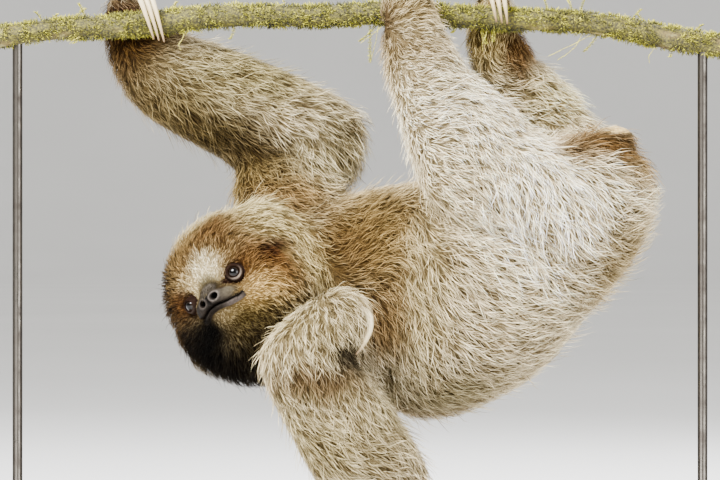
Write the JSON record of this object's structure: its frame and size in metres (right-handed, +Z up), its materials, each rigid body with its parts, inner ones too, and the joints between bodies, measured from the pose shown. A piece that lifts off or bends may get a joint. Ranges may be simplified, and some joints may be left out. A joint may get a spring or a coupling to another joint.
{
  "type": "three-toed sloth display model",
  "caption": "Still, life-size brown-throated three-toed sloth hanging by its claws under a short branch, which rods hold up over a flat display base.",
  "frame": {"origin": "middle of the stand's underside, on the floor", "axes": "+Z up, +X along the branch from the head's end to the rump's end, -Y towards the side that the face, chest and belly look to"},
  "size_m": [0.644, 0.292, 0.505],
  "materials": {
    "coat_pale": "coarse wiry fur, cream over dark brown underfur",
    "coat_brown": "coarse brown fur",
    "coat_face": "short fur, pale brow, tan cheeks, brown round the eyes",
    "face_skin": "bare grey-black skin of the nose and lips",
    "eye": "wet dark brown eye",
    "claw": "horn, ivory to grey-brown",
    "bark": "bark grown over with yellow-green moss",
    "stand_wood": "dark stained wood, satin",
    "stand_metal": "dark satin rod"
  },
  "bodies": {
    "root": {"head": "coat_face", "muzzle": "face_skin", "jaw": "coat_face", "nose": "face_skin", "ear_left": "coat_brown", "ear_right": "coat_brown", "eye_left": "eye", "eye_right": "eye", "neck": "coat_brown", "chest": "coat_brown", "belly": "coat_pale", "rump": "coat_pale", "tail": "coat_brown", "left_upper_arm": "coat_pale", "left_forearm": "coat_pale", "left_hand": "coat_brown", "right_upper_arm": "coat_pale", "right_forearm": "coat_pale", "right_hand": "coat_pale", "left_thigh": "coat_pale", "left_shin": "coat_pale", "left_foot": "coat_brown", "right_thigh": "coat_pale", "right_shin": "coat_pale", "right_foot": "coat_brown", "left_hand_claw_1": "claw", "left_hand_claw_2": "claw", "left_hand_claw_3": "claw", "right_hand_claw_1": "claw", "right_hand_claw_2": "claw", "right_hand_claw_3": "claw", "left_foot_claw_1": "claw", "left_foot_claw_2": "claw", "left_foot_claw_3": "claw", "right_foot_claw_1": "claw", "right_foot_claw_2": "claw", "right_foot_claw_3": "claw", "perch_branch": "bark", "stand_base": "stand_wood", "stand_rod_left": "stand_metal", "stand_rod_right": "stand_metal"}
  },
  "joints": []
}
